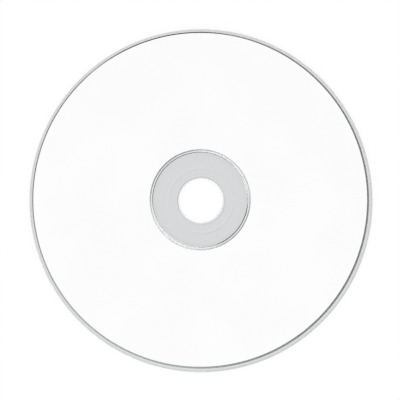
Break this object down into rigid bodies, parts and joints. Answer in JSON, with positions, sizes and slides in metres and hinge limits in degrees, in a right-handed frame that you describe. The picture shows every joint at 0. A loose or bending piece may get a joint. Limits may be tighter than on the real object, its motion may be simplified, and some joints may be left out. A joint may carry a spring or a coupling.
{
  "type": "compact disc",
  "caption": "Optical data disc: a clear moulded body with a mirror film, a lacquer and a blank white printable face, round a centre hole.",
  "frame": {"origin": "on the axis of the centre hole, at the surface that the stacking ring stands on", "axes": "+Z along the hole's axis, out of the label side; +X to the right and +Y up in the picture"},
  "size_m": [0.12, 0.12, 0.0015],
  "materials": {
    "clear_body": "clear polycarbonate, polished by the mould",
    "mirror_film": "sputtered silver film over a pale green-blue dye",
    "lacquer": "clear gloss lacquer",
    "print_coat": "blank matte white ink-receiving coat"
  },
  "bodies": {
    "root": {"clear_body": "clear_body", "mirror_film": "mirror_film", "lacquer": "lacquer", "print_coat": "print_coat"}
  },
  "joints": []
}
